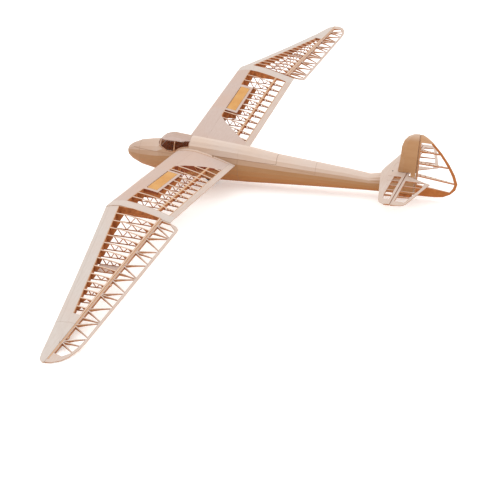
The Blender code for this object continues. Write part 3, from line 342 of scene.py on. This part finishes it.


# Tones of each wood. The painted shade of the sides fades in between the two heights of the normal in "turn",
# that of the underside in "under"
woods = {
    "sheetBalsa": {
        "pale": (203, 183, 174), "streak": (197, 174, 163), "patch": (203, 174, 158), "edge": (190, 150, 120),
        "edgeDeep": (168, 122, 86), "belly": (180, 142, 110), "grain": (6, 260, 260), "patchScale": 5.0,
        "patchPart": 0.75, "turn": (0.25, 0.75), "under": (-0.95, -0.35), "rough": 0.62,
    },
    # root sheeting and spoiler frames: the sheet wood with darker painted shadow on its side faces
    "deepSheet": {
        "pale": (205, 185, 176), "streak": (198, 176, 165), "patch": (205, 176, 160), "edge": (150, 78, 40),
        "edgeDeep": (122, 54, 24), "belly": (180, 142, 110), "grain": (6, 260, 260), "patchScale": 5.0,
        "patchPart": 0.75, "turn": (0.25, 0.75), "under": (-0.95, -0.35), "rough": 0.62,
    },
    "outerSheet": {
        "pale": (211, 201, 194), "streak": (204, 191, 182), "patch": (209, 190, 179), "edge": (192, 158, 132),
        "edgeDeep": (172, 132, 100), "belly": (182, 148, 120), "grain": (6, 260, 260), "patchScale": 4.0,
        "patchPart": 0.6, "turn": (0.25, 0.75), "under": (-0.95, -0.35), "rough": 0.62,
    },
    "hullBalsa": {
        "pale": (219, 202, 191), "streak": (215, 193, 179), "patch": (219, 193, 174), "edge": (168, 125, 86),
        "edgeDeep": (160, 116, 76), "belly": (162, 98, 36), "grain": (420, 5, 420), "patchScale": 6.0,
        "patchPart": 0.6, "turn": (0.08, 0.62), "under": (-0.80, 0.02), "rough": 0.5,
    },
    "finBalsa": {
        "pale": (214, 192, 176), "streak": (206, 180, 158), "patch": (208, 180, 156), "edge": (180, 134, 90),
        "edgeDeep": (174, 126, 82), "belly": (168, 100, 46), "grain": (240, 5, 60), "patchScale": 9.0,
        "patchPart": 0.6, "turn": (-0.05, 0.75), "under": (-0.90, -0.20), "rough": 0.55,
    },
    "rudderBalsa": {
        "pale": (222, 200, 184), "streak": (212, 186, 166), "patch": (214, 186, 164), "edge": (178, 108, 54),
        "edgeDeep": (162, 94, 42), "belly": (160, 92, 40), "grain": (60, 60, 60), "patchScale": 14.0,
        "patchPart": 0.5, "turn": (0.15, 0.65), "under": (-0.98, -0.60), "rough": 0.65,
    },
    "ribPly": {
        "pale": (214, 178, 146), "streak": (200, 156, 118), "patch": (206, 162, 124), "edge": (188, 114, 62),
        "edgeDeep": (138, 76, 36), "belly": (190, 140, 98), "grain": (60, 60, 60), "patchScale": 14.0,
        "patchPart": 0.5, "turn": (0.35, 0.75), "under": (-0.98, -0.80), "rough": 0.7,
    },
    "stripBalsa": {
        "pale": (212, 196, 186), "streak": (204, 182, 168), "patch": (206, 181, 164), "edge": (186, 130, 88),
        "edgeDeep": (148, 90, 50), "belly": (182, 146, 114), "grain": (8, 180, 180), "patchScale": 9.0,
        "patchPart": 0.5, "turn": (0.30, 0.75), "under": (-0.98, -0.70), "rough": 0.65,
    },
    "capBalsa": {
        "pale": (226, 202, 184), "streak": (216, 186, 164), "patch": (220, 188, 164), "edge": (204, 156, 116),
        "edgeDeep": (180, 126, 84), "belly": (196, 156, 122), "grain": (60, 12, 60), "patchScale": 16.0,
        "patchPart": 0.5, "turn": (0.30, 0.75), "under": (-0.98, -0.70), "rough": 0.65,
    },
    # the cap strips' wood under the ribs, browner with painted shade
    "footBalsa": {
        "pale": (186, 128, 84), "streak": (164, 104, 62), "patch": (172, 112, 68), "edge": (168, 102, 56),
        "edgeDeep": (130, 74, 36), "belly": (196, 156, 122), "grain": (60, 12, 60), "patchScale": 16.0,
        "patchPart": 0.5, "turn": (0.30, 0.75), "under": (-0.98, -0.70), "rough": 0.65,
    },
    "sparPine": {
        "pale": (218, 178, 142), "streak": (206, 160, 120), "patch": (210, 166, 128), "edge": (186, 128, 82),
        "edgeDeep": (160, 100, 58), "belly": (180, 128, 86), "grain": (8, 260, 260), "patchScale": 16.0,
        "patchPart": 0.5, "turn": (0.30, 0.75), "under": (-0.98, -0.70), "rough": 0.6,
    },
    "ochrePly": {
        "pale": (214, 156, 86), "streak": (203, 143, 72), "patch": (218, 166, 98), "edge": (170, 112, 54),
        "edgeDeep": (144, 92, 40), "belly": (176, 126, 70), "grain": (10, 320, 320), "patchScale": 18.0,
        "patchPart": 0.6, "turn": (0.25, 0.75), "under": (-0.95, -0.35), "rough": 0.55,
    },
}
materials = {name: woodMaterial(name, look) for name, look in woods.items()}

# Clear canopy: a painted reflection over its upper part fades in between the two heights in "edge", measured
# along "way"
canopyLook = {
    "crown": (206, 182, 172), "top": (182, 150, 130), "side": (150, 84, 50), "crownAlpha": 0.92,
    "sideAlpha": 0.10, "way": (0, -0.03, 1), "edge": (0.052, 0.057), "topTurn": (0.80, 0.98),
    "dustScale": 30.0, "dustDetail": 3.0, "rough": (0.04, 0.12), "bending": 1.45,
}


def canopyMaterial(name, look):
    # clear moulding: a pale painted reflection over its upper part, browner where faces look straight up,
    # nearly invisible at its sides
    material, tree, shader = newMaterial(name)
    coords, place = airframeCoords(tree)
    crown = fade(tree, along(tree, place, look["way"]), *look["edge"])
    top = fade(tree, rise(tree, coords), *look["topTurn"])
    # painted reflection, browner on faces that look straight up
    paintedReflection = mixTones(tree, top, tone(look["crown"]), tone(look["top"]))
    colour = mixTones(tree, crown, tone(look["side"]), paintedReflection)
    alpha = fade(tree, crown, 0.0, 1.0, look["sideAlpha"], look["crownAlpha"])
    dust = noise(tree, place, look["dustScale"], look["dustDetail"])
    tree.links.new(colour, shader.inputs["Base Color"])
    tree.links.new(alpha, shader.inputs["Alpha"])
    tree.links.new(fade(tree, dust, 0.0, 1.0, *look["rough"]), shader.inputs["Roughness"])
    shader.inputs["IOR"].default_value = look["bending"]
    return material


materials["clearCanopy"] = canopyMaterial("clearCanopy", canopyLook)

# Rubber, metal and dark wood: two tones mixed by a fine grit
gritLook = {"scale": 60.0, "detail": 4.0, "bump": 0.3, "bumpDeep": 0.0002}
plains = {
    "wheelRubber": {"tone": (34, 33, 32), "other": (52, 50, 48), "rough": 0.75, "metal": 0.0},
    "hubMetal": {"tone": (188, 188, 190), "other": (150, 150, 152), "rough": 0.35, "metal": 0.9},
    "darkPly": {"tone": (138, 58, 26), "other": (104, 42, 18), "rough": 0.7, "metal": 0.0},
    "burntEdge": {"tone": (104, 62, 38), "other": (78, 44, 26), "rough": 0.8, "metal": 0.0},
    "darkSteel": {"tone": (74, 66, 62), "other": (54, 48, 46), "rough": 0.4, "metal": 0.6},
}


def plainMaterial(name, look):
    material, tree, shader = newMaterial(name)
    grit = noise(tree, airframeCoords(tree)[1], gritLook["scale"], gritLook["detail"])
    colour = mixTones(tree, grit, tone(look["tone"]), tone(look["other"]))
    tree.links.new(colour, shader.inputs["Base Color"])
    shader.inputs["Roughness"].default_value = look["rough"]
    shader.inputs["Metallic"].default_value = look["metal"]
    addBump(tree, shader, grit, gritLook["bump"], gritLook["bumpDeep"])
    return material


for name, look in plains.items():
    materials[name] = plainMaterial(name, look)

# Finish of each solid: by its slot, or by its name where that is given
finishBySlot = {
    "sheet_balsa": "sheetBalsa", "hull_balsa": "hullBalsa", "rib_wood": "ribPly", "strip_wood": "stripBalsa",
    "ochre_ply": "ochrePly", "clear_canopy": "clearCanopy", "wheel_rubber": "wheelRubber",
    "hub_metal": "hubMetal",
}
finishByNode = {
    "outer_leading_box": "outerSheet", "wing_joint": "outerSheet", "fin": "finBalsa",
    "cockpit_tray": "darkPly", "canopy_frame": "capBalsa", "rudder": "rudderBalsa",
    "tail_screw": "darkSteel", "root_sheeting": "deepSheet", "spoiler_frame": "deepSheet",
}
for part in frame["record"]["subparts"]:
    node = part["node"]
    kind = node.replace("_left", "").replace("_right", "")
    finish = finishByNode.get(kind, finishBySlot[part["material_slot"]])
    nodes[node].data.materials.clear()
    nodes[node].data.materials.append(materials[finish])
print("materials on", len(nodes), "solids")


# Helpers for the added pieces
probeHeight = 0.6  # rays that find a solid's skin start this far above or below


def surfaceAt(node, x, y, fromTop=True):
    # height on the level airframe where a solid's skin meets a vertical line, or None past its edge
    solid = nodes[node]
    toSolid = solid.matrix_world.inverted() @ parked
    start = toSolid @ Vector((x, y, probeHeight if fromTop else -probeHeight))
    way = toSolid.to_3x3() @ Vector((0, 0, -1 if fromTop else 1))
    hit, place = solid.ray_cast(start, way)[:2]
    return (toSolid.inverted() @ place).z if hit else None


def lineAt(first, last, x):
    # second coordinate of the line through two points, where its first is x
    (x0, y0), (x1, y1) = first, last
    return y0 + (y1 - y0) * (x - x0) / (x1 - x0)


def spread(low, high, step):
    # even places from low to high, about a step apart
    count = max(int((high - low) / step), 1)
    return [low + (high - low) * index / count for index in range(count + 1)]


def layPanel(near, far, thick):
    # thin sheet between two lines of level points
    last = len(near) - 1
    bpy.ops.mesh.primitive_grid_add(x_subdivisions=last, y_subdivisions=1, size=1)
    sheet = bpy.context.object
    for vert in sheet.data.vertices:
        step = round((vert.co.x + 0.5) * last)
        vert.co = far[step] if vert.co.y > 0 else near[step]
    solidify = sheet.modifiers.new("thickness", "SOLIDIFY")
    solidify.thickness = thick
    solidify.offset = 0
    bpy.ops.object.modifier_apply(modifier=solidify.name)
    return sheet


def layStrip(line, across, wide, thick):
    # flat strip centred on a line of level points
    half = Vector(across) * wide / 2
    near = [Vector(point) - half for point in line]
    far = [Vector(point) + half for point in line]
    return layPanel(near, far, thick)


def layBlock(place, size):
    bpy.ops.mesh.primitive_cube_add(size=1, location=place)
    block = bpy.context.object
    block.scale = size
    bpy.ops.object.transform_apply(location=True, rotation=True, scale=True)
    return block


def joined(parts):
    bpy.ops.object.select_all(action="DESELECT")
    for part in parts:
        part.select_set(True)
    bpy.context.view_layer.objects.active = parts[0]
    if len(parts) > 1:
        bpy.ops.object.join()
    return bpy.context.view_layer.objects.active


def finishPiece(parts, name, material, body):
    # joins level pieces, turns their faces outwards, parks them with the airframe and puts them on a body
    piece = joined(parts)
    piece.name = name
    piece.data.name = name
    bpy.ops.object.mode_set(mode="EDIT")
    bpy.ops.mesh.select_all(action="SELECT")
    bpy.ops.mesh.normals_make_consistent(inside=False)
    bpy.ops.object.mode_set(mode="OBJECT")
    piece.matrix_world = parked
    bpy.ops.object.transform_apply(location=True, rotation=True, scale=True)
    piece.data.materials.clear()
    piece.data.materials.append(materials[material])
    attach(piece, body)
    piece.select_set(False)


sides = {"left": 1, "right": -1}

# Strips on the ribs: pale caps over them, and feet under them made browner with painted shade
capLook = {
    "wide": 0.0058, "thick": 0.0012, "lift": -0.0004, "step": 0.002, "every": 6, "jump": 0.0025,
    "shortest": 0.012,
    "inner": {"first": 0.1155, "pitch": 0.0512, "count": 12, "from": -0.135, "to": 0.045},
    "outer": {"first": 0.8307, "pitch": 0.0477, "count": 14, "from": -0.135, "to": 0.026},
}


def ribRuns(node, frameNode, x, look, fromTop):
    # unbroken runs of skin points along one rib, stopping at the spoiler's frame
    lift = capLook["lift"] if fromTop else -capLook["lift"]
    steps = int((look["to"] - look["from"]) / capLook["step"])
    runs, run = [], []
    for step in range(steps + 1):
        y = look["from"] + capLook["step"] * step
        z = surfaceAt(node, x, y, fromTop)
        if fromTop and frameNode and surfaceAt(frameNode, x, y) is not None:
            z = None
        if z is not None and (not run or abs(z - run[-1][2]) < capLook["jump"]):
            run.append((x, y, z + lift))
        elif run:
            runs.append(run)
            run = []
    runs.append(run)
    return [run for run in runs if len(run) * capLook["step"] > capLook["shortest"]]


def thinned(run, every):
    # one point in so many of a run, and always its last
    return run[::every] + ([run[-1]] if (len(run) - 1) % every else [])


for end, side in sides.items():
    for panel in ("inner", "outer"):
        look = capLook[panel]
        frameNode = f"spoiler_frame_{end}" if panel == "inner" else None
        for row, wood, fromTop in (("rib_caps", "capBalsa", True), ("rib_feet", "footBalsa", False)):
            strips = []
            for rib in range(look["count"]):
                x = side * (look["first"] + look["pitch"] * rib)
                for run in ribRuns(f"{panel}_ribs_{end}", frameNode, x, look, fromTop):
                    line = thinned(run, capLook["every"])
                    strips.append(layStrip(line, spanWay, capLook["wide"], capLook["thick"]))
            finishPiece(strips, f"{panel}_{row}_{end}", wood, "airframe")
print("rib caps and feet laid")

# Strips on both sides of the aileron's hinge line
hingeLook = {
    "start": (0.772, 0.030), "end": (1.720, -0.001), "thick": 0.0010, "lift": 0.0001, "step": 0.030,
    "spar": {"wide": 0.0042, "off": -0.0033, "from": 0.785, "to": 1.486, "wood": "capBalsa"},
    "aileron": {"wide": 0.0040, "off": 0.0026, "from": 0.793, "to": 1.700, "wood": "sparPine"},
}


def hingeY(x):
    return lineAt(hingeLook["start"], hingeLook["end"], x)


for end, side in sides.items():
    for kind, node, body in (("spar", "outer_ribs", "airframe"), ("aileron", "aileron", f"aileron_{end}")):
        look = hingeLook[kind]
        line = []
        for x in spread(look["from"], look["to"], hingeLook["step"]):
            y = hingeY(x) + look["off"]
            z = surfaceAt(f"{node}_{end}", side * x, y)
            if z is not None:
                line.append((side * x, y, z + hingeLook["lift"]))
        strip = layStrip(line, lengthWay, look["wide"], hingeLook["thick"])
        finishPiece([strip], f"{kind}_hinge_strip_{end}", look["wood"], body)
print("hinge strips laid")

# Sheet over and under the last bay, where the leading-edge box runs out against the aileron
tipBayLook = {
    "from": 1.446, "to": 1.604, "step": 0.02, "thick": 0.0012, "lift": 0.0009, "lap": 0.004, "gap": 0.0009,
    "probe": 0.0065, "boxFrom": (0.782, -0.1345), "boxTo": (1.492, -0.0165),
}
for end, side in sides.items():
    sheets = []
    for fromTop in (True, False):
        lift = tipBayLook["lift"] if fromTop else -tipBayLook["lift"]
        front, rear = [], []
        for x in spread(tipBayLook["from"], tipBayLook["to"], tipBayLook["step"]):
            frontY = lineAt(tipBayLook["boxFrom"], tipBayLook["boxTo"], x) - tipBayLook["lap"]
            rearY = hingeY(x) - tipBayLook["gap"]
            frontZ = surfaceAt(f"outer_leading_box_{end}", side * x, frontY, fromTop)
            rearZ = surfaceAt(f"aileron_{end}", side * x, rearY + tipBayLook["probe"], fromTop)
            front.append((side * x, frontY, frontZ + lift))
            rear.append((side * x, rearY, rearZ + lift))
        sheets.append(layPanel(front, rear, tipBayLook["thick"]))
    finishPiece(sheets, f"tip_bay_sheet_{end}", "outerSheet", "airframe")
print("last bays closed")

# Spoilers: dark dashes along the front edge
dashLook = {
    "inner": (0.352, -0.1090), "outer": (0.561, -0.1125), "count": 15, "part": 0.68, "wide": 0.0024,
    "thick": 0.0008, "off": -0.0015, "probe": 0.001,
}


def layDashes(end, side):
    low, high = dashLook["inner"][0], dashLook["outer"][0]
    pitch = (high - low) / dashLook["count"]
    dashes = []
    for dash in range(dashLook["count"]):
        line = []
        for x in (low + pitch * dash, low + pitch * (dash + dashLook["part"])):
            y = lineAt(dashLook["inner"], dashLook["outer"], x) + dashLook["off"]
            z = surfaceAt(f"spoiler_frame_{end}", side * x, y - dashLook["probe"])
            line.append((side * x, y, z))
        dashes.append(layStrip(line, lengthWay, dashLook["wide"], dashLook["thick"]))
    finishPiece(dashes, f"spoiler_front_dashes_{end}", "burntEdge", "airframe")


# Two screws on each spoiler
screwLook = {"places": (0.4475, 0.4655), "y": -0.0930, "across": 0.0030, "deep": 0.0008, "sides": 16}


def setScrews(end, side):
    screws = []
    for x in screwLook["places"]:
        z = surfaceAt(f"spoiler_{end}", side * x, screwLook["y"])
        bpy.ops.mesh.primitive_cylinder_add(
            vertices=screwLook["sides"],
            radius=screwLook["across"] / 2,
            depth=screwLook["deep"],
            location=(side * x, screwLook["y"], z),
        )
        screws.append(bpy.context.object)
    finishPiece(screws, f"spoiler_screws_{end}", "darkSteel", f"spoiler_{end}")


# A solid rib inboard of each spoiler's frame, with its foot at the height of the next rib's lower edge
endRibLook = {
    "x": 0.3330, "nextRib": 0.3203, "from": -0.1105, "to": -0.0610, "step": 0.01, "thick": 0.0016,
    "deep": 0.026, "lift": 0.0010,
}


def layEndRib(end, side):
    x = side * endRibLook["x"]
    tops, feet = [], []
    for y in spread(endRibLook["from"], endRibLook["to"], endRibLook["step"]):
        z = surfaceAt(f"inner_ribs_{end}", side * endRibLook["nextRib"], y, False)
        if z is not None:
            foot = z + endRibLook["lift"]
            feet.append((x, y, foot))
            tops.append((x, y, foot + endRibLook["deep"]))
    rib = layPanel(feet, tops, endRibLook["thick"])
    finishPiece([rib], f"spoiler_end_rib_{end}", "ribPly", "airframe")


for end, side in sides.items():
    layDashes(end, side)
    setScrews(end, side)
    layEndRib(end, side)
print("spoilers dressed")

# Pale rim where each wing root meets the hull
rimLook = {
    "x": 0.0672, "from": -0.180, "to": 0.060, "step": 0.008, "wide": 0.0034, "thick": 0.0014,
    "lift": 0.0004, "probe": 0.003,
}
for end, side in sides.items():
    line = []
    for y in spread(rimLook["from"], rimLook["to"], rimLook["step"]):
        probeX = side * (rimLook["x"] + rimLook["probe"])
        z = surfaceAt(f"root_sheeting_{end}", probeX, y)
        if z is None:
            z = surfaceAt(f"inner_leading_box_{end}", probeX, y)
        if z is not None:
            line.append((side * rimLook["x"], y, z + rimLook["lift"]))
    strip = layStrip(line, spanWay, rimLook["wide"], rimLook["thick"])
    finishPiece([strip], f"root_rim_{end}", "capBalsa", "airframe")
print("root rims laid")

# Sheet that narrows the tailplane's openings
tailLook = {
    "from": 0.044, "to": 0.226, "step": 0.03, "rear": 0.7172, "thick": 0.0078, "lap": 0.002,
    "root": (0.040, 0.660), "sweep": 0.20, "sheet": 0.034, "taper": 0.06,
}


def tailOpeningY(x):
    # front edge of the openings: the tailplane's leading edge and the sheet behind it
    rootX, rootY = tailLook["root"]
    return rootY + tailLook["sweep"] * (x - rootX) + tailLook["sheet"] - tailLook["taper"] * x


for end, side in sides.items():
    stations = spread(tailLook["from"], tailLook["to"], tailLook["step"])
    front = [(side * x, tailOpeningY(x) - tailLook["lap"], 0) for x in stations]
    rear = [(side * x, tailLook["rear"], 0) for x in stations]
    sheet = layPanel(front, rear, tailLook["thick"])
    finishPiece([sheet], f"tailplane_sheet_{end}", "stripBalsa", "airframe")
print("tailplane sheeted")

# Small hinge blocks behind the ailerons' spars
blockLook = {
    "places": (0.885, 1.245, 1.572), "off": 0.0105, "size": (0.0120, 0.0060, 0.0035), "drop": 0.004,
    "probe": 0.004,
}
for end, side in sides.items():
    blocks = []
    for x in blockLook["places"]:
        z = surfaceAt(f"aileron_{end}", side * x, hingeY(x) + blockLook["probe"]) - blockLook["drop"]
        blocks.append(layBlock((side * x, hingeY(x) + blockLook["off"], z), blockLook["size"]))
    finishPiece(blocks, f"aileron_hinge_blocks_{end}", "ribPly", f"aileron_{end}")
print("hinge blocks set")

# Ribs of the rudder: flat plates with a row of holes that get smaller to the rear
# "ribs" has the heights of each rib at the hinge and at the rear, and "trailing" the rear outline (z, y)
plateLook = {
    "ribs": ((-0.0010, -0.0235), (0.0510, 0.0410), (0.1040, 0.0940)), "thick": 0.0048,
    "front": 0.0085, "rear": 0.0120, "frontHalf": 0.0098, "rearHalf": 0.0034,
    "holes": 7, "frontHole": 0.0042, "rearHole": 0.0018, "holeSides": 20, "holeDeep": 0.02,
    "hingeFoot": (-0.0880, 0.7842), "hingeLean": 0.0826,
    "trailing": ((-0.0250, 0.9585), (0.0150, 0.9460), (0.0570, 0.9230), (0.1000, 0.8930), (0.1410, 0.8570)),
}


def rudderHingeY(z):
    footZ, footY = plateLook["hingeFoot"]
    return footY + plateLook["hingeLean"] * (z - footZ)


def rudderTrailY(z):
    rows = plateLook["trailing"]
    return next(lineAt(low, high, z) for low, high in zip(rows, rows[1:]) if z <= high[0])


def holeRow(start, stop):
    # round cutters along a rib, smaller to the rear
    cutters = []
    for hole in range(plateLook["holes"]):
        part = (hole + 0.5) / plateLook["holes"]
        radius = lineAt((0, plateLook["frontHole"]), (1, plateLook["rearHole"]), part)
        bpy.ops.mesh.primitive_cylinder_add(
            vertices=plateLook["holeSides"],
            radius=radius,
            depth=plateLook["holeDeep"],
            location=start.lerp(stop, part),
        )
        cutters.append(bpy.context.object)
    return joined(cutters)


plates = []
for hingeZ, trailZ in plateLook["ribs"]:
    start = Vector((0, rudderHingeY(hingeZ) + plateLook["front"], hingeZ))
    stop = Vector((0, rudderTrailY(trailZ) - plateLook["rear"], trailZ))
    frontHalf = Vector(spanWay) * plateLook["frontHalf"]
    rearHalf = Vector(spanWay) * plateLook["rearHalf"]
    near = [start - frontHalf, stop - rearHalf]
    far = [start + frontHalf, stop + rearHalf]
    plate = layPanel(near, far, plateLook["thick"])
    holes = holeRow(start, stop)
    bpy.context.view_layer.objects.active = plate
    cut = plate.modifiers.new("holes", "BOOLEAN")
    cut.object = holes
    cut.operation = "DIFFERENCE"
    cut.solver = "EXACT"
    bpy.ops.object.modifier_apply(modifier=cut.name)
    bpy.data.objects.remove(holes, do_unlink=True)
    plates.append(plate)
finishPiece(plates, "rudder_rib_plates", "rudderBalsa", "rudder")
print("rudder ribs plated")
